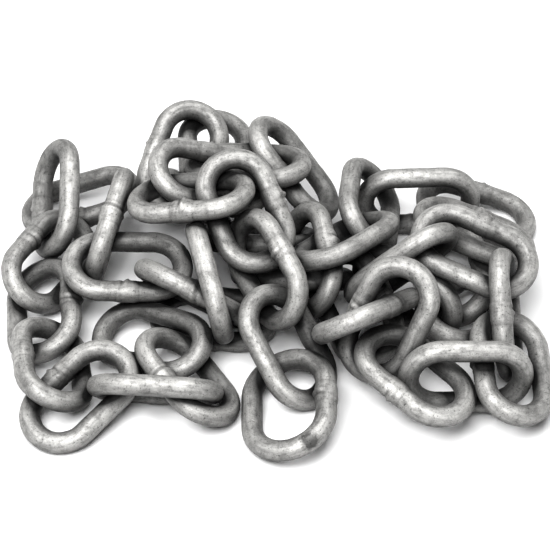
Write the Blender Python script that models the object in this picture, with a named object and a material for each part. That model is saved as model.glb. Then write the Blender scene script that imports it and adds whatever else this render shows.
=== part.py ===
"""A loose heap of short-link steel chain, one continuous length, lying on a level floor.

Every link is its own closed ring of round wire, in chain order from one free end to the
other. The links are laid by hand over the photograph, in a drawing frame tilted to the
photograph's view, then eased apart until no two of them touch.
"""

import math

import bpy
import numpy as np
from mathutils import Matrix, Vector

# Driving dimensions of a link, in millimetres
WIRE = 5.5
INSIDE_LENGTH = 24.1
INSIDE_WIDTH = 10.8
END_LINK = "link_01"
END_LINK_INSIDE_WIDTH = 14.5

# The gap that easing leaves between neighbouring links, in millimetres
CLEARANCE = 0.35

# The photograph's view: looking down by this angle at a point this high above the floor
VIEW_TILT = math.radians(44.0)
VIEW_HEIGHT = 12.0
VIEW_DISTANCE = 550.0
PHOTO_MIDDLE = 275.0
PHOTO_PX_PER_MM = 3.727

# Corners of the wire's centreline round each bow, and a turn that levels its facets
BOW_STEPS = 6
FACETS_LEVEL = math.radians(22.5)

# Easing: rounds of small pushes, first to part the wires, then held near their laid
# places while they settle, and last only to part what still touches. A link moves
# more readily along the view than across it, and an unseen link more than the rest.
EASE_ROUNDS = 560
FIRST_PARTING = 60
HOLD_UNTIL = 420
HOLD = 0.05
SETTLE = 0.02
LARGEST_PUSH = 0.5
TURN_ARM = 17.3
SIDEWAYS_SHARE = 0.35
LOOSER = 2.0
UNSEEN_LINKS = ("link_11", "link_21", "link_31", "link_32", "link_45")

# The link under the heap that lies flat on the floor
FLOOR_LINK = "link_32"

MM = 0.001
STEEL = (0.42, 0.41, 0.39, 1.0)

# Middle of each link in the photograph (pixels from its top left corner), how far it
# lies toward the viewer (mm), the direction of its long axis in the picture, how much
# that end leans toward the viewer, and how much its left-hand leg does (degrees)
LAID_LINKS = [
    # name, photo_x, photo_y, toward, turn, lean, roll
    ("link_01", 288, 402, 25, 89, -46, -18),
    ("link_02", 297, 343, 17, 110, -12, 30),
    ("link_03", 262, 271, 9, 127, -20, -46),
    ("link_04", 250, 215, 4.5, 120, -14, 10),
    ("link_05", 193, 202, 3, 6, 12, -60),
    ("link_06", 214, 168, -5.5, -2, -16, -44),
    ("link_07", 240, 166, -9.5, -3, 12, -62),
    ("link_08", 292, 174, -18, 134, -10, 56),
    ("link_09", 214, 154, -24, 90, -40, 12),
    ("link_10", 189, 157, -24, 76, -10, 8),
    ("link_11", 198, 222, -13, -58, 5, 80),
    ("link_12", 263, 252, -9, 0, -10, -66),
    ("link_13", 330, 257, -1.5, 110, -41, -42),
    ("link_14", 350, 264, 2, 46, -28, -42),
    ("link_15", 369, 227, -10, 90, -40, 46),
    ("link_16", 421, 198, -18, -3, 2, 38),
    ("link_17", 475, 226, -24, -17, -12, -45),
    ("link_18", 468, 246, -9, -25, 0, -60),
    ("link_19", 460, 284, -9, 95, -44, -15),
    ("link_20", 446, 314, 1, 24, -25, -42),
    ("link_21", 384, 312, 3.5, 15, 5, -20),
    ("link_22", 404, 258, 8, 41, 24, 85),
    ("link_23", 464, 256, 9, -28, -18, -6),
    ("link_24", 502, 325, 12, 92, -12, 82),
    ("link_25", 505, 368, 19, 88, -41, 14),
    ("link_26", 457, 362, 24, -2, 0, 30),
    ("link_27", 405, 378, 21, -23, 22, -46),
    ("link_28", 394, 325, 20, 50, 15, 5),
    ("link_29", 380, 317, 19, 13, -50, 85),
    ("link_30", 352, 337, 8, 100, -25, -15),
    ("link_31", 281, 298, 0, 2, 14, -75),
    ("link_32", 208, 322, 4.4, 6, 0, -46),
    ("link_33", 155, 347, 10, -22, 30, -34),
    ("link_34", 184, 381, 17.5, -47, 32, -50),
    ("link_35", 155, 394, 25, -5, 0, 85),
    ("link_36", 87, 400, 24, 43, -23, -14),
    ("link_37", 57, 365, 16, 107, -44, 28),
    ("link_38", 51, 311, 1, 90, -44, -18),
    ("link_39", 47, 258, -10, 50, -32, 5),
    ("link_40", 58, 200, -16, 92, -24, -60),
    ("link_41", 78, 208, -25, 20, 7, -58),
    ("link_42", 107, 227, -8, 72, -25, 94),
    ("link_43", 131, 271, -1.5, 2, 0, -28),
    ("link_44", 198, 298, 7, -29, 0, 84),
    ("link_45", 204, 280, 5.5, 92, -28, 88),
]


def clear_scene():
    for obj in list(bpy.data.objects):
        bpy.data.objects.remove(obj, do_unlink=True)


def link_centreline(inside_width):
    """Corner points of a link's wire, long axis along X, ring in the XY plane.

    Half circles joined by straight legs.
    """
    bow_radius = (inside_width + WIRE) / 2.0
    half_straight = (INSIDE_LENGTH + WIRE) / 2.0 - bow_radius
    points = []
    for side in (1.0, -1.0):
        for step in range(BOW_STEPS + 1):
            angle = math.pi * step / BOW_STEPS - math.pi / 2.0
            x = half_straight + bow_radius * math.cos(angle)
            y = bow_radius * math.sin(angle)
            points.append((side * x, side * y, 0.0))
    return np.array(points)


def drawing_axes():
    """The drawing's right, up and toward directions in the world, as rows."""
    tilt_sin = math.sin(VIEW_TILT)
    tilt_cos = math.cos(VIEW_TILT)
    return np.array([
        (1.0, 0.0, 0.0),
        (0.0, tilt_sin, tilt_cos),
        (0.0, -tilt_cos, tilt_sin),
    ])


def laid_place(photo_x, photo_y, toward):
    """World place of a link's middle, in millimetres."""
    scale = PHOTO_PX_PER_MM * VIEW_DISTANCE / (VIEW_DISTANCE - toward)
    across = (photo_x - PHOTO_MIDDLE) / scale
    up = (PHOTO_MIDDLE - photo_y) / scale
    offset = np.array((across, up, toward)) @ drawing_axes()
    return offset + np.array((0.0, 0.0, VIEW_HEIGHT))


def laid_rotation(turn, lean, roll):
    """3x3 rotation of a link: its columns are the long axis, the side and the face."""
    turn, lean, roll = (math.radians(angle) for angle in (turn, lean, roll))
    along = np.array((
        math.cos(lean) * math.cos(turn),
        math.cos(lean) * math.sin(turn),
        math.sin(lean),
    ))
    level = np.array((-math.sin(turn), math.cos(turn), 0.0))
    side = level * math.cos(roll) + np.cross(along, level) * math.sin(roll)
    face = np.cross(along, side)
    axes = drawing_axes()
    return np.column_stack([along @ axes, side @ axes, face @ axes])


class LaidLink:
    """A rigid link while it is being laid."""

    def __init__(self, name, photo_x, photo_y, toward, turn, lean, roll):
        self.name = name
        self.inside_width = END_LINK_INSIDE_WIDTH if name == END_LINK else INSIDE_WIDTH
        self.ring = link_centreline(self.inside_width)
        self.looseness = LOOSER if name in UNSEEN_LINKS else 1.0
        self.place = laid_place(photo_x, photo_y, toward)
        self.rotation = laid_rotation(turn, lean, roll)
        self.first_place = self.place.copy()
        self.first_rotation = self.rotation.copy()

    def wire(self):
        return self.ring @ self.rotation.T + self.place

    def turn_by(self, vector):
        """Turn about a world axis, by the vector's length in radians."""
        angle = float(np.linalg.norm(vector))
        if angle < 1e-12:
            return
        x, y, z = vector / angle
        cross = np.array([(0.0, -z, y), (z, 0.0, -x), (-y, x, 0.0)])
        turning = np.eye(3) + math.sin(angle) * cross
        turning += (1.0 - math.cos(angle)) * (cross @ cross)
        self.rotation = turning @ self.rotation

    def lie_flat(self):
        """Turn the link's own plane level and set it on the floor."""
        self.place[2] = WIRE / 2.0
        face = self.rotation[:, 2]
        upright = np.array((0.0, 0.0, math.copysign(1.0, face[2])))
        axis = np.cross(face, upright)
        slope = float(np.linalg.norm(axis))
        if slope > 1e-9:
            self.turn_by(axis / slope * math.asin(slope))

    def weight(self, contact, direction, share):
        """How readily a push there moves the wire, share being the pushed direction's."""
        moment = np.cross(contact - self.place, direction)
        return self.looseness * (share + moment @ moment / TURN_ARM ** 2)

    def push(self, contact, direction, step, amount):
        """Move by step and turn about the middle, both in proportion to amount."""
        moment = np.cross(contact - self.place, direction)
        self.place = self.place + step * (amount * self.looseness)
        self.turn_by(moment * (amount * self.looseness / TURN_ARM ** 2))

    def hold(self, strength):
        """Pull back toward the laid place and rotation, and let the link sink a little."""
        self.place = self.place + (self.first_place - self.place) * HOLD * strength
        self.place[2] -= SETTLE * strength
        back = self.first_rotation @ self.rotation.T
        twist = 0.5 * np.array((
            back[2, 1] - back[1, 2],
            back[0, 2] - back[2, 0],
            back[1, 0] - back[0, 1],
        ))
        self.turn_by(twist * HOLD * strength)


def nearest_points(wire_a, wire_b):
    """Nearest points of every pair of segments of two closed wires, and their distances."""
    start_a = wire_a[:, None]
    start_b = wire_b[None]
    step_a = (np.roll(wire_a, -1, 0) - wire_a)[:, None]
    step_b = (np.roll(wire_b, -1, 0) - wire_b)[None]
    between = start_a - start_b
    aa = (step_a * step_a).sum(-1)
    bb = (step_b * step_b).sum(-1)
    ab = (step_a * step_b).sum(-1)
    ad = (step_a * between).sum(-1)
    bd = (step_b * between).sum(-1)
    spread = aa * bb - ab * ab
    along_a = np.where(spread > 1e-9, (ab * bd - ad * bb) / np.maximum(spread, 1e-9), 0.0)
    along_a = np.clip(along_a, 0.0, 1.0)
    free_b = (ab * along_a + bd) / bb
    along_b = np.clip(free_b, 0.0, 1.0)
    along_a = np.where(free_b != along_b, np.clip((ab * along_b - ad) / aa, 0.0, 1.0), along_a)
    point_a = start_a + along_a[..., None] * step_a
    point_b = start_b + along_b[..., None] * step_b
    distance = np.sqrt(((point_a - point_b) ** 2).sum(-1))
    return point_a, point_b, distance


def separate_contacts(point_a, point_b, distance, wanted):
    """Up to four contacts closer than wanted, well apart from one another."""
    chosen = []
    close = np.argwhere(distance < wanted)
    order = np.argsort([distance[a, b] for a, b in close], kind="stable")
    for index in order:
        a, b = close[index]
        contact = point_a[a, b]
        if any(np.linalg.norm(contact - other[0]) < 6.0 for other in chosen):
            continue
        chosen.append((contact, point_b[a, b], distance[a, b]))
        if len(chosen) == 4:
            break
    return chosen


def eased_step(direction):
    """A direction with only part of what lies across the view."""
    toward = drawing_axes()[2]
    along_view = toward * (toward @ direction)
    return along_view + (direction - along_view) * SIDEWAYS_SHARE


def part_pair(link_a, link_b):
    """Push two links apart wherever their wires are closer than the clearance."""
    if np.linalg.norm(link_a.place - link_b.place) > INSIDE_LENGTH + 2.5 * WIRE:
        return
    wanted = WIRE + CLEARANCE
    contacts = separate_contacts(*nearest_points(link_a.wire(), link_b.wire()), wanted)
    for on_a, on_b, distance in contacts:
        direction = (on_a - on_b) / max(distance, 1e-6)
        step = eased_step(direction)
        share = direction @ step
        weight_a = link_a.weight(on_a, direction, share)
        weight_b = link_b.weight(on_b, direction, share)
        amount = 0.6 * (wanted - distance) / (weight_a + weight_b)
        looser = max(link_a.looseness, link_b.looseness)
        amount = min(amount, LARGEST_PUSH / (looser * share))
        link_a.push(on_a, direction, step, amount)
        link_b.push(on_b, -direction, -step, amount)


def lift_off_floor(link):
    wire = link.wire()
    lowest = wire[int(wire[:, 2].argmin())]
    depth = WIRE / 2.0 - lowest[2]
    if depth > 0.0:
        upward = np.array((0.0, 0.0, 1.0))
        weight = link.weight(lowest, upward, 1.0)
        link.push(lowest, upward, upward, 0.6 * depth / weight)


def ease_apart(links):
    for round_number in range(EASE_ROUNDS):
        if FIRST_PARTING <= round_number < HOLD_UNTIL:
            strength = 1.0 - round_number / HOLD_UNTIL
            for link in links:
                link.hold(strength)
        for index, link_a in enumerate(links):
            for link_b in links[index + 1:]:
                part_pair(link_a, link_b)
        for link in links:
            lift_off_floor(link)


def centre_on_floor(links):
    """Move the heap so that the middle of its base is the origin."""
    wires = np.concatenate([link.wire() for link in links])
    low = wires.min(0) - WIRE / 2.0
    high = wires.max(0) + WIRE / 2.0
    shift = np.array(((low[0] + high[0]) / 2.0, (low[1] + high[1]) / 2.0, low[2]))
    for link in links:
        link.place = link.place - shift


def make_ring_curve(name, inside_width):
    curve = bpy.data.curves.new(name, "CURVE")
    curve.dimensions = "3D"
    curve.bevel_depth = WIRE / 2.0 * MM
    curve.bevel_resolution = 2
    corners = link_centreline(inside_width) * MM
    spline = curve.splines.new("POLY")
    spline.points.add(len(corners) - 1)
    for point, corner in zip(spline.points, corners):
        point.co = (corner[0], corner[1], corner[2], 1.0)
        point.tilt = FACETS_LEVEL
    spline.use_cyclic_u = True
    return curve


def make_steel():
    material = bpy.data.materials.new("galvanised_steel")
    material.use_nodes = True
    shader = material.node_tree.nodes["Principled BSDF"]
    shader.inputs["Base Color"].default_value = STEEL
    shader.inputs["Metallic"].default_value = 0.8
    shader.inputs["Roughness"].default_value = 0.5
    return material


def main():
    clear_scene()
    heap = bpy.data.collections.new("chain_heap")
    bpy.context.scene.collection.children.link(heap)
    links = [LaidLink(*row) for row in LAID_LINKS]
    ease_apart(links)
    centre_on_floor(links)
    for link in links:
        if link.name == FLOOR_LINK:
            link.lie_flat()
    steel = make_steel()
    link_curve = make_ring_curve("link_wire", INSIDE_WIDTH)
    end_curve = make_ring_curve("end_link_wire", END_LINK_INSIDE_WIDTH)
    link_curve.materials.append(steel)
    end_curve.materials.append(steel)
    for link in links:
        curve = end_curve if link.name == END_LINK else link_curve
        obj = bpy.data.objects.new(link.name, curve)
        rotation = Matrix(link.rotation.tolist()).to_4x4()
        place = Matrix.Translation(Vector(link.place * MM))
        obj.matrix_world = place @ rotation
        heap.objects.link(obj)


main()
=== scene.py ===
"""A loose heap of short-link galvanised steel chain, dressed over its solid model.

Each link of the solid model is replaced by a smooth ring of round wire with its weld
and the lumps and pits of its zinc. One procedural zinc material covers them all.
Lengths are in metres, and the photograph's places are in its pixels.
"""

import math
import random

import bpy
import numpy as np
from mathutils import Matrix, Vector, kdtree, noise


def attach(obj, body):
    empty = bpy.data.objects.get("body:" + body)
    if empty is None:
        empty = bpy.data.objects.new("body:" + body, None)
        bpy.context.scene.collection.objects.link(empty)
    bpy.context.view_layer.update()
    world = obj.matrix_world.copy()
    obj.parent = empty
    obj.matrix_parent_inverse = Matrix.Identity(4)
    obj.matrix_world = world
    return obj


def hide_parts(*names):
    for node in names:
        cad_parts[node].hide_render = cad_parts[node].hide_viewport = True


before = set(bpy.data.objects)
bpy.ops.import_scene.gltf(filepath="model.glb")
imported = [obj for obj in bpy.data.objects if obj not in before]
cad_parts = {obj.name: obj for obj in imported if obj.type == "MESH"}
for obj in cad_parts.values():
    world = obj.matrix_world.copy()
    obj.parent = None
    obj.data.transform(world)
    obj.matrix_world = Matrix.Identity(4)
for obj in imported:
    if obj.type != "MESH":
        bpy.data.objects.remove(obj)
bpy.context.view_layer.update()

MILLIMETRES = 1000.0

# The link
WIRE = 0.0055
INSIDE_LENGTH = 0.0241
INSIDE_WIDTH = 0.0108
END_LINK = "link_01"
END_LINK_INSIDE_WIDTH = 0.0145

# The camera looks down at the heap's front, as the photograph does
VIEW_TILT = math.radians(44.0)
VIEW_DISTANCE = 0.550
LOOK_AT = Vector((0.0, 0.0003, 0.0120))
VIEW_RIGHT = Vector((1.0, 0.0, 0.0))
VIEW_UP = Vector((0.0, math.sin(VIEW_TILT), math.cos(VIEW_TILT)))
VIEW_TOWARD = Vector((0.0, -math.cos(VIEW_TILT), math.sin(VIEW_TILT)))
CLIP_START = 0.01
CLIP_END = 20.0
SENSOR = 36.0

# The photograph's side in pixels, and its pixels per metre at LOOK_AT
PHOTO_SIZE = 550.0
PX_PER_METRE = 3727.0

# Where the photograph shows a link's weld, most plainly and some by guess
WELD_SEEN = {
    "link_01": (330, 390),
    "link_02": (310, 337),
    "link_03": (272, 240),
    "link_04": (283, 197),
    "link_05": (180, 203),
    "link_06": (213, 148),
    "link_08": (268, 130),
    "link_10": (150, 148),
    "link_12": (305, 222),
    "link_14": (340, 260),
    "link_23": (485, 222),
    "link_26": (467, 411),
    "link_27": (388, 370),
    "link_34": (158, 370),
    "link_36": (50, 378),
    "link_37": (20, 347),
    "link_39": (33, 228),
    "link_42": (115, 203),
    "link_43": (125, 285),
}

# Welds that stand out more than the rest, as a share of a plain one
LARGE_WELDS = {"link_04": 1.4, "link_05": 2.0, "link_08": 1.3, "link_12": 1.4, "link_42": 1.3}

# Where the photograph shows the end link rubbed bare and dark, and how far that reaches
BARE_PATCH = (306, 434)
BARE_RADIUS = 0.0026

# Fineness of a link's surface
RINGS_ALONG = 168
POINTS_AROUND = 28

# What makes each link's lumps, pits and weld its own
SEED_STEP = 1.37
SEED_DRIFT = (7.3, 3.1, 5.7)

# Zinc lumps, each kind with its height and its fineness per millimetre
LUMPS = ((0.00006, 0.16), (0.00005, 0.55), (0.000022, 1.7))

# Zinc pits, which deepen where their own noise runs through PIT_RANGE
PIT_DEPTH = 0.00009
PIT_FINENESS = 0.9
PIT_SHIFT = Vector((31.0, 7.0, 2.0))
PIT_RANGE = (0.38, 0.7)

# The weld's collar: full up to the first distance from its middle and gone at the second,
# with an even share of its height and one that varies around the wire
COLLAR_HEIGHT = 0.0004
COLLAR_REACH = (0.0016, 0.0034)
COLLAR_EVEN = 0.6
COLLAR_UNEVEN = 0.5

# The flash across the collar, and the cosines between which it fades out around the wire
FLASH_HEIGHT = 0.0005
FLASH_WIDTH = 0.00045
FLASH_SLANT = 0.0007
FLASH_TURN = 2.4
FLASH_SIDE = (-0.4, 0.5)

# The groove beside the flash and the rim at the collar's ends, which together are the seam:
# the groove shows least where there is no flash, and the rim by a share all the way round
GROOVE_DEPTH = 0.00022
GROOVE_WIDTH = 0.0004
GROOVE_PLACE = 0.0012
GROOVE_LEAST = 0.4
RIM_WIDTH = 0.0004
RIM_PLACE = 0.0031
RIM_SHARE = 0.5

# Share of the gap to the next wire that a lump or weld may fill, and how finely that is looked at
ROOM_SHARE = 0.42
ROOM_POINTS = 224

# How far off another wire still shelters a spot, for the painted shade beneath other links, and how
# finely that is looked at
SHELTER_REACH = 0.016
SHELTER_POINTS = 56

# How steeply shelter fades with distance, and the most that one point of a wire gives
SHELTER_FADE = 1.5
SHELTER_MOST = 0.35

# Share of its shelter that a point gives from beside, and what it adds from right above
BESIDE_SHARE = 0.3
ABOVE_SHARE = 0.7

# Noises of the zinc: scale, detail and roughness
BROAD = (95.0, 2.0, 0.5)
MOTTLE = (420.0, 5.0, 0.68)
STREAKS = (1.0, 3.0, 0.6)
SPECKS = (1650.0, 2.0, 0.6)
GRAIN = (3600.0, 2.0, 0.6)

# Scale of the streaks along and around the wire
STREAK_STRETCH = (0.16, 0.9, 1.0)

# Brightness of the zinc at given values of its noises
BROAD_TONES = ((0.34, 0.52), (0.68, 0.78))
MOTTLE_TONES = ((0.35, 0.46), (0.48, 0.80), (0.62, 1.0))
STREAK_TONES = ((0.34, 0.45), (0.6, 1.0))
SPECK_TONES = ((0.29, 0.12), (0.40, 1.0))
GRAIN_TONES = ((0.3, 0.5), (0.6, 1.0))
ZINC_TINT = (1.0, 0.99, 0.96)
NEUTRAL = (1.0, 1.0, 1.0)

# How strongly each noise marks the zinc's colour
MOTTLE_SHARE = 0.75
STREAK_SHARE = 0.7
SPECK_SHARE = 0.7
GRAIN_SHARE = 0.5

# The zinc's gloss, and its bumps as shares of the finer noises
METALLIC = 0.65
ROUGHNESS_TONES = ((0.3, 0.72), (0.7, 0.52))
SPECK_BUMP = 0.35
GRAIN_BUMP = 0.25
BUMP_STRENGTH = 0.7
BUMP_DISTANCE = 0.0003

# Brightness left at its darkest by the painted shade toward the link's eye, on undersides and
# beneath other links, and in the darker weld seam
INNER_PAINTED_SHADE = 0.4
UNDER_PAINTED_SHADE = 0.22
SHELTERED_PAINTED_SHADE = 0.05
SEAM_GRIME = 0.4

# Between which values each kind of painted shade and the darker seam sets in, and how uneven its
# edge is
INNER_RANGE = (-0.4, 0.9)
UNDER_RANGE = (-0.45, 0.7)
SHELTERED_RANGE = (0.09, 0.42)
SEAM_RANGE = (0.1, 1.0)
INNER_UNEVEN = 0.8
SHELTERED_UNEVEN = 0.16

# Brightness left in the bare patch, and its raggedness and edge as shares of its radius
BARE_TONE = 0.2
BARE_UNEVEN = 1.6
BARE_EDGE = (1.5, 2.1)

# The floor
FLOOR_SIZE = 4.0
FLOOR_COLOR = (0.95, 0.95, 0.95, 1.0)
FLOOR_ROUGHNESS = 0.9
FLOOR_GLOSS = 0.1

# Soft lights, each with its place, size and watts, and the spot that they face
SOFTBOXES = (
    ("key_softbox", (-0.16, -0.42, 0.8), (0.55, 0.45), 13.0),
    ("overhead_softbox", (0.1, 0.2, 0.9), (0.6, 0.5), 5.0),
)
LIT_SPOT = (0.0, 0.0, 0.02)
SKY_COLOR = (1.0, 1.0, 1.0, 1.0)
SKY_STRENGTH = 0.04

# Sockets of Blender's Mix node when it mixes colours
MIX_FACTOR = 0
MIX_FIRST = 6
MIX_SECOND = 7
MIX_RESULT = 2


def photo_pixel(point):
    """Where a point of the frame falls in the photograph."""
    offset = point - LOOK_AT
    depth = VIEW_DISTANCE - offset.dot(VIEW_TOWARD)
    scale = PX_PER_METRE * VIEW_DISTANCE / depth
    half = PHOTO_SIZE / 2.0
    return half + offset.dot(VIEW_RIGHT) * scale, half - offset.dot(VIEW_UP) * scale


def smooth_step(value, low, high):
    """A smooth climb from 0 at low to 1 at high."""
    share = min(max((value - low) / (high - low), 0.0), 1.0)
    return share * share * (3.0 - 2.0 * share)


def bell(distance, width):
    """A smooth hump that is 1 at no distance and fades over the width."""
    return math.exp(-((distance / width) ** 2))


class Place:
    """Where a link lies: its middle and its long, side and face directions."""

    def __init__(self, node):
        points = np.array([vertex.co for vertex in node.data.vertices], float)
        middle = points.mean(0)
        spread = (points - middle).T @ (points - middle)
        axes = np.linalg.eigh(spread)[1]
        self.middle = Vector(middle)
        self.long_axis = Vector(axes[:, 2])
        self.side = Vector(axes[:, 1])
        self.face = self.long_axis.cross(self.side)

    def spot(self, point):
        """A point of the link's own plane, in the frame."""
        return self.middle + self.long_axis * point.x + self.side * point.y

    def direction(self, normal):
        """A direction of the link's own, in the frame."""
        return self.long_axis * normal.x + self.side * normal.y + self.face * normal.z


class Ring:
    """The line through the middle of a link's wire, flat in the link's own plane."""

    def __init__(self, inside_width):
        self.bow_radius = (inside_width + WIRE) / 2.0
        self.half_straight = (INSIDE_LENGTH + WIRE) / 2.0 - self.bow_radius
        self.bow = math.pi * self.bow_radius
        self.length = 2.0 * self.bow + 4.0 * self.half_straight

    def at(self, along):
        """Point and outward direction at a length along the wire."""
        along = along % self.length
        sign = 1.0
        if along >= self.length / 2.0:
            along -= self.length / 2.0
            sign = -1.0
        if along < self.bow:
            angle = along / self.bow_radius - math.pi / 2.0
            out = Vector((math.cos(angle), math.sin(angle), 0.0))
            point = Vector((self.half_straight, 0.0, 0.0)) + self.bow_radius * out
        else:
            out = Vector((0.0, 1.0, 0.0))
            point = Vector((self.half_straight - (along - self.bow), self.bow_radius, 0.0))
        return sign * point, sign * out

    def lengths(self, total):
        """Lengths along the wire that divide it evenly."""
        return [self.length * count / total for count in range(total)]


RING = Ring(INSIDE_WIDTH)
END_RING = Ring(END_LINK_INSIDE_WIDTH)


def ring_of(name):
    return END_RING if name == END_LINK else RING


def wire_points(ring, place, total):
    """Points along the middle of a link's wire, in the frame."""
    return np.array([place.spot(ring.at(along)[0]) for along in ring.lengths(total)])


def nearest_length(ring, place, lengths, pixel):
    """Which of some lengths along the wire lies nearest to a pixel of the photograph."""

    def gap(along):
        seen = photo_pixel(place.spot(ring.at(along)[0]))
        return math.hypot(seen[0] - pixel[0], seen[1] - pixel[1])

    return min(lengths, key=gap)


def weld_length(name, ring, place):
    """Length along the wire to the middle of the leg that carries the weld."""
    quarter = ring.bow + ring.half_straight
    legs = (quarter, quarter + ring.length / 2.0)
    if name in WELD_SEEN:
        return nearest_length(ring, place, legs, WELD_SEEN[name])
    return legs[random.Random(name).randrange(2)]


def bare_place(place):
    """The spot on the end link's wire that the photograph shows rubbed bare."""
    along = nearest_length(END_RING, place, END_RING.lengths(RINGS_ALONG), BARE_PATCH)
    return place.spot(END_RING.at(along)[0]) + VIEW_TOWARD * (WIRE / 2.0)


def zinc_radius(spot):
    """Radius of the wire with the zinc's lumps and pits, at a spot in millimetres."""
    radius = WIRE / 2.0
    for height, fineness in LUMPS:
        radius += height * noise.noise(spot * fineness)
    pit = noise.noise(spot * PIT_FINENESS + PIT_SHIFT)
    return radius - PIT_DEPTH * smooth_step(pit, *PIT_RANGE)


def add_weld(radius, away, angle, seed, size):
    """Radius with the weld added, at a distance from its middle, and how much seam shows there."""
    collar = 1.0 - smooth_step(abs(away), *COLLAR_REACH)
    ragged = noise.noise(Vector((math.cos(angle), math.sin(angle), seed)))
    uneven = COLLAR_EVEN + COLLAR_UNEVEN * ragged
    radius += COLLAR_HEIGHT * collar * uneven * size
    slant = away - FLASH_SLANT * math.sin(angle + seed)
    flash = bell(slant, FLASH_WIDTH)
    patch = smooth_step(math.cos(angle - seed * FLASH_TURN), *FLASH_SIDE)
    radius += FLASH_HEIGHT * flash * patch * size
    groove = bell(slant - GROOVE_PLACE, GROOVE_WIDTH)
    radius -= GROOVE_DEPTH * groove * patch
    rim = bell(abs(away) - RIM_PLACE, RIM_WIDTH)
    shown = GROOVE_LEAST + (1.0 - GROOVE_LEAST) * patch
    return radius, min(groove * shown + RIM_SHARE * rim, 1.0)


def tree_of(wires):
    """A search tree of the points of several wires."""
    tree = kdtree.KDTree(sum(len(wire) for wire in wires))
    for index, point in enumerate(np.concatenate(wires)):
        tree.insert(point, index)
    tree.balance()
    return tree


def room_at(spot, normal, others):
    """How far the surface may stand out at a spot of the plain wire."""
    gap = others.find(spot)[2] - WIRE / 2.0
    room = ROOM_SHARE * max(gap, 0.0)
    if normal.z < 0.0:
        room = min(room, max(spot.z, 0.0) / -normal.z)
    return room


def shelter(spots, normals, wires):
    """How much of what a spot faces is hidden by other wires, from none (0) to all (1), counting
    more what lies above; it sets the painted shade beneath other links.
    """
    hidden = np.zeros(len(spots))
    area = WIRE * RING.length / SHELTER_POINTS
    for wire in wires:
        if np.any(wire.min(0) - SHELTER_REACH > spots.max(0)):
            continue
        if np.any(wire.max(0) + SHELTER_REACH < spots.min(0)):
            continue
        for point in wire:
            away = point - spots
            gap = np.sqrt((away * away).sum(1))
            facing = np.maximum((away * normals).sum(1) / gap, 0.0)
            above = BESIDE_SHARE + ABOVE_SHARE * np.maximum(away[:, 2] / gap, 0.0)
            near = np.clip(SHELTER_FADE - SHELTER_FADE * gap / SHELTER_REACH, 0.0, 1.0)
            seen = np.minimum(area / (math.pi * gap * gap), SHELTER_MOST)
            hidden += facing * above * near * seen
    return np.clip(hidden, 0.0, 1.0)


def add_shelter(mesh, normals, seams, wires):
    """Keep on the mesh how sheltered each point is (red), which the zinc turns into painted shade,
    and where the weld's seam runs (green).
    """
    spots = np.array([vertex.co for vertex in mesh.vertices])
    hidden = shelter(spots, np.array(normals), wires)
    layer = mesh.color_attributes.new("shelter", "FLOAT_COLOR", "POINT")
    colors = np.repeat(hidden[:, None], 4, axis=1)
    colors[:, 1] = seams
    colors[:, 3] = 1.0
    layer.data.foreach_set("color", colors.ravel())


def add_wire_map(mesh, ring):
    """Lengths along and around the wire, in millimetres, for the streaks and the painted shade
    toward the link's eye.
    """
    layer = mesh.uv_layers.new(name="wire")
    per_count = ring.length * MILLIMETRES / RINGS_ALONG
    per_step = math.pi * WIRE * MILLIMETRES / POINTS_AROUND
    for polygon in mesh.polygons:
        count, step = divmod(polygon.index, POINTS_AROUND)
        corners = ((count, step), (count + 1, step), (count + 1, step + 1), (count, step + 1))
        for loop, corner in zip(polygon.loop_indices, corners):
            layer.data[loop].uv = (corner[0] * per_count, corner[1] * per_step)


def ring_faces():
    """Four-cornered faces between each ring of points and the next."""
    faces = []
    for count in range(RINGS_ALONG):
        ring = count * POINTS_AROUND
        after = (count + 1) % RINGS_ALONG * POINTS_AROUND
        for step in range(POINTS_AROUND):
            turn = (step + 1) % POINTS_AROUND
            faces.append((ring + step, after + step, after + turn, ring + turn))
    return faces


def make_link(name, place, wires, others):
    """A link's dressed mesh, with its lumps and weld kept to the room that others leave."""
    ring = ring_of(name)
    half = ring.length / 2.0
    weld_at = weld_length(name, ring, place)
    size = LARGE_WELDS.get(name, 1.0)
    seed = int(name.split("_")[1]) * SEED_STEP
    drift = Vector([seed * step for step in SEED_DRIFT])
    vertices = []
    normals = []
    seams = []
    for along in ring.lengths(RINGS_ALONG):
        point, out = ring.at(along)
        core = place.spot(point)
        away = (along - weld_at + half) % ring.length - half
        for step in range(POINTS_AROUND):
            angle = 2.0 * math.pi * step / POINTS_AROUND
            normal = out * math.cos(angle) + Vector((0.0, 0.0, math.sin(angle)))
            base = point + normal * (WIRE / 2.0)
            radius = zinc_radius(base * MILLIMETRES + drift)
            radius, seam = add_weld(radius, away, angle, seed, size)
            outward = place.direction(normal)
            room = room_at(core + outward * (WIRE / 2.0), outward, others)
            vertices.append(core + outward * min(radius, WIRE / 2.0 + room))
            normals.append(outward)
            seams.append(seam)
    mesh = bpy.data.meshes.new(name + "_steel")
    mesh.from_pydata(vertices, [], ring_faces())
    add_wire_map(mesh, ring)
    add_shelter(mesh, normals, seams, wires)
    mesh.shade_smooth()
    mesh.update()
    piece = bpy.data.objects.new(name + "_steel", mesh)
    bpy.context.scene.collection.objects.link(piece)
    return piece


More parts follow.
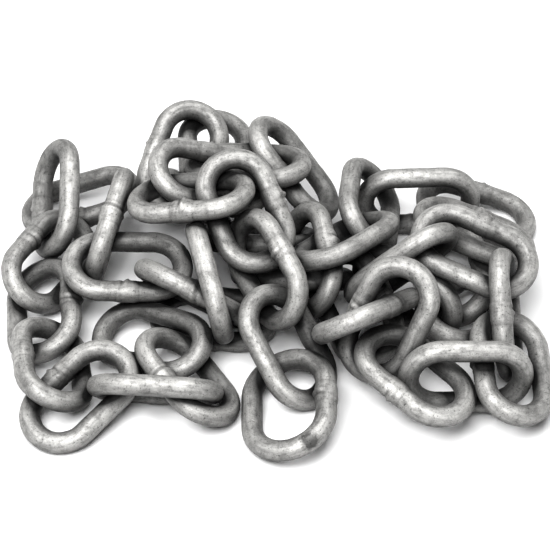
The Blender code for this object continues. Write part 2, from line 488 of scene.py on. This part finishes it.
class Nodes:
    """Short calls for building a material's node tree."""

    def __init__(self, material):
        material.use_nodes = True
        self.tree = material.node_tree
        self.shader = self.tree.nodes["Principled BSDF"]

    def add(self, kind, **settings):
        node = self.tree.nodes.new(kind)
        for name, value in settings.items():
            setattr(node, name, value)
        return node

    def link(self, output, target):
        self.tree.links.new(output, target)

    def cloud(self, vector, scale, detail, roughness):
        """Noise over some coordinates."""
        node = self.add("ShaderNodeTexNoise")
        node.inputs["Scale"].default_value = scale
        node.inputs["Detail"].default_value = detail
        node.inputs["Roughness"].default_value = roughness
        self.link(vector, node.inputs["Vector"])
        return node.outputs["Fac"]

    def ramp(self, value, tones, tint=NEUTRAL):
        """A tint in the brightness that belongs to a value."""
        node = self.add("ShaderNodeValToRGB")
        elements = node.color_ramp.elements
        while len(elements) < len(tones):
            elements.new(0.5)
        for element, (position, tone) in zip(elements, tones):
            element.position = position
            element.color = (*[tone * share for share in tint], 1.0)
        self.link(value, node.inputs["Fac"])
        return node.outputs["Color"]

    def mix(self, mode, factor, first, second):
        node = self.add("ShaderNodeMix", data_type="RGBA", blend_type=mode)
        node.inputs[MIX_FACTOR].default_value = factor
        self.link(first, node.inputs[MIX_FIRST])
        self.link(second, node.inputs[MIX_SECOND])
        return node.outputs[MIX_RESULT]

    def compute(self, operation, first, second=0.0):
        node = self.add("ShaderNodeMath", operation=operation)
        self.link(first, node.inputs[0])
        if isinstance(second, float):
            node.inputs[1].default_value = second
        else:
            self.link(second, node.inputs[1])
        return node.outputs["Value"]

    def spread(self, value, limits, results):
        """A value's run between two limits, turned into a run between two results."""
        node = self.add("ShaderNodeMapRange")
        node.inputs["From Min"].default_value = limits[0]
        node.inputs["From Max"].default_value = limits[1]
        node.inputs["To Min"].default_value = results[0]
        node.inputs["To Max"].default_value = results[1]
        self.link(value, node.inputs["Value"])
        return node.outputs["Result"]

    def painted_shade_and_dark_seam(self, wire, uneven):
        """Painted shade toward the link's eye, on undersides and beneath other links, and darkening
        in the weld's seam.
        """
        # Painted shade on the wire's inner side, toward the link's eye
        parts = self.add("ShaderNodeSeparateXYZ")
        self.link(wire, parts.inputs["Vector"])
        angle = self.compute("MULTIPLY", parts.outputs["Y"], 2.0 / (WIRE * MILLIMETRES))
        outward = self.compute("COSINE", angle)
        outward = self.compute("ADD", outward, self.compute("MULTIPLY", uneven, INNER_UNEVEN))
        inner = self.spread(outward, INNER_RANGE, (INNER_PAINTED_SHADE, 1.0))
        # Painted shade on surfaces that face down
        facing = self.add("ShaderNodeSeparateXYZ")
        self.link(self.add("ShaderNodeNewGeometry").outputs["Normal"], facing.inputs["Vector"])
        under = self.spread(facing.outputs["Z"], UNDER_RANGE, (UNDER_PAINTED_SHADE, 1.0))
        kept = self.compute("MULTIPLY", inner, under)
        # Painted shade beneath other links, from the shelter kept on the mesh
        marks = self.add("ShaderNodeSeparateColor")
        layer = self.add("ShaderNodeVertexColor", layer_name="shelter")
        self.link(layer.outputs["Color"], marks.inputs["Color"])
        ragged = self.compute("MULTIPLY", uneven, SHELTERED_UNEVEN)
        hidden = self.compute("ADD", marks.outputs["Red"], ragged)
        painted_occlusion_tone = self.spread(hidden, SHELTERED_RANGE, (1.0, SHELTERED_PAINTED_SHADE))
        kept = self.compute("MULTIPLY", kept, painted_occlusion_tone)
        seam = self.spread(marks.outputs["Green"], SEAM_RANGE, (1.0, SEAM_GRIME))
        return self.compute("MULTIPLY", kept, seam)

    def patch(self, space, middle, uneven):
        """Dark ragged spot around a point."""
        away = self.add("ShaderNodeVectorMath", operation="DISTANCE")
        away.inputs[1].default_value = tuple(middle)
        self.link(space, away.inputs[0])
        ragged = self.compute("MULTIPLY", uneven, BARE_RADIUS * BARE_UNEVEN)
        ragged = self.compute("ADD", ragged, away.outputs["Value"])
        edge = [BARE_RADIUS * share for share in BARE_EDGE]
        return self.spread(ragged, edge, (BARE_TONE, 1.0))


def make_zinc(bare):
    """Weathered hot-dip zinc, mottled, streaked along the wire, specked, darker in the weld's
    seams, with painted shade in the link's eye, on undersides and beneath other links.
    """
    material = bpy.data.materials.new("galvanised_steel_zinc")
    nodes = Nodes(material)
    space = nodes.add("ShaderNodeTexCoord").outputs["Object"]
    wire = nodes.add("ShaderNodeUVMap", uv_map="wire").outputs["UV"]
    stretch = nodes.add("ShaderNodeMapping")
    stretch.inputs["Scale"].default_value = STREAK_STRETCH
    nodes.link(wire, stretch.inputs["Vector"])
    broad = nodes.cloud(space, *BROAD)
    mottle = nodes.cloud(space, *MOTTLE)
    streaks = nodes.cloud(stretch.outputs["Vector"], *STREAKS)
    specks = nodes.cloud(space, *SPECKS)
    grain = nodes.cloud(space, *GRAIN)
    base = nodes.ramp(broad, BROAD_TONES, ZINC_TINT)
    clouds = nodes.ramp(mottle, MOTTLE_TONES)
    drawn = nodes.ramp(streaks, STREAK_TONES)
    pits = nodes.ramp(specks, SPECK_TONES)
    fine = nodes.ramp(grain, GRAIN_TONES)
    tone = nodes.mix("MULTIPLY", MOTTLE_SHARE, base, clouds)
    tone = nodes.mix("MULTIPLY", STREAK_SHARE, tone, drawn)
    tone = nodes.mix("MULTIPLY", SPECK_SHARE, tone, pits)
    tone = nodes.mix("MULTIPLY", GRAIN_SHARE, tone, fine)
    # Darken with painted shade in the link's eye, on undersides and beneath other links, and in the
    # weld's seam
    tone = nodes.mix("MULTIPLY", 1.0, tone, nodes.painted_shade_and_dark_seam(wire, mottle))
    tone = nodes.mix("MULTIPLY", 1.0, tone, nodes.patch(space, bare, mottle))
    nodes.link(tone, nodes.shader.inputs["Base Color"])
    rough = nodes.ramp(mottle, ROUGHNESS_TONES)
    nodes.link(rough, nodes.shader.inputs["Roughness"])
    nodes.shader.inputs["Metallic"].default_value = METALLIC
    height = nodes.mix("MIX", SPECK_BUMP, mottle, specks)
    height = nodes.mix("MIX", GRAIN_BUMP, height, grain)
    bump = nodes.add("ShaderNodeBump")
    bump.inputs["Strength"].default_value = BUMP_STRENGTH
    bump.inputs["Distance"].default_value = BUMP_DISTANCE
    nodes.link(height, bump.inputs["Height"])
    nodes.link(bump.outputs["Normal"], nodes.shader.inputs["Normal"])
    return material


def dress_links():
    """Put a dressed link in the place of each solid one."""
    nodes = sorted(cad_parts.items())
    places = {name: Place(node) for name, node in nodes}
    zinc = make_zinc(bare_place(places[END_LINK]))
    coarse = {}
    fine = {}
    for name, place in places.items():
        coarse[name] = wire_points(ring_of(name), place, SHELTER_POINTS)
        fine[name] = wire_points(ring_of(name), place, ROOM_POINTS)
    for name, place in places.items():
        around = [wire for other, wire in coarse.items() if other != name]
        others = tree_of([wire for other, wire in fine.items() if other != name])
        piece = make_link(name, place, around, others)
        piece.data.materials.append(zinc)
        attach(piece, "root")
        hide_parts(name)


def make_floor():
    bpy.ops.mesh.primitive_plane_add(size=FLOOR_SIZE, location=(0.0, 0.0, 0.0))
    floor = bpy.context.active_object
    floor.name = "floor"
    material = bpy.data.materials.new("pale_floor")
    material.use_nodes = True
    shader = material.node_tree.nodes["Principled BSDF"]
    shader.inputs["Base Color"].default_value = FLOOR_COLOR
    shader.inputs["Roughness"].default_value = FLOOR_ROUGHNESS
    shader.inputs["Specular IOR Level"].default_value = FLOOR_GLOSS
    floor.data.materials.append(material)


def add_softbox(name, place, size, watts):
    data = bpy.data.lights.new(name, "AREA")
    data.shape = "RECTANGLE"
    data.size = size[0]
    data.size_y = size[1]
    data.energy = watts
    light = bpy.data.objects.new(name, data)
    light.location = place
    direction = Vector(LIT_SPOT) - Vector(place)
    light.rotation_euler = direction.to_track_quat("-Z", "Y").to_euler()
    bpy.context.scene.collection.objects.link(light)


def add_lights():
    for softbox in SOFTBOXES:
        add_softbox(*softbox)
    world = bpy.data.worlds.new("studio")
    world.use_nodes = True
    background = world.node_tree.nodes["Background"]
    background.inputs["Color"].default_value = SKY_COLOR
    background.inputs["Strength"].default_value = SKY_STRENGTH
    bpy.context.scene.world = world


def add_camera():
    data = bpy.data.cameras.new("photo_camera")
    data.sensor_width = SENSOR
    data.lens = SENSOR * PX_PER_METRE * VIEW_DISTANCE / PHOTO_SIZE
    data.clip_start = CLIP_START
    data.clip_end = CLIP_END
    camera = bpy.data.objects.new("photo_camera", data)
    place = LOOK_AT + VIEW_TOWARD * VIEW_DISTANCE
    turn = Matrix((VIEW_RIGHT, VIEW_UP, VIEW_TOWARD)).transposed().to_4x4()
    camera.matrix_world = Matrix.Translation(place) @ turn
    bpy.context.scene.collection.objects.link(camera)
    bpy.context.scene.camera = camera


def main():
    dress_links()
    make_floor()
    add_lights()
    add_camera()
    bpy.context.scene.view_settings.view_transform = "Standard"


main()
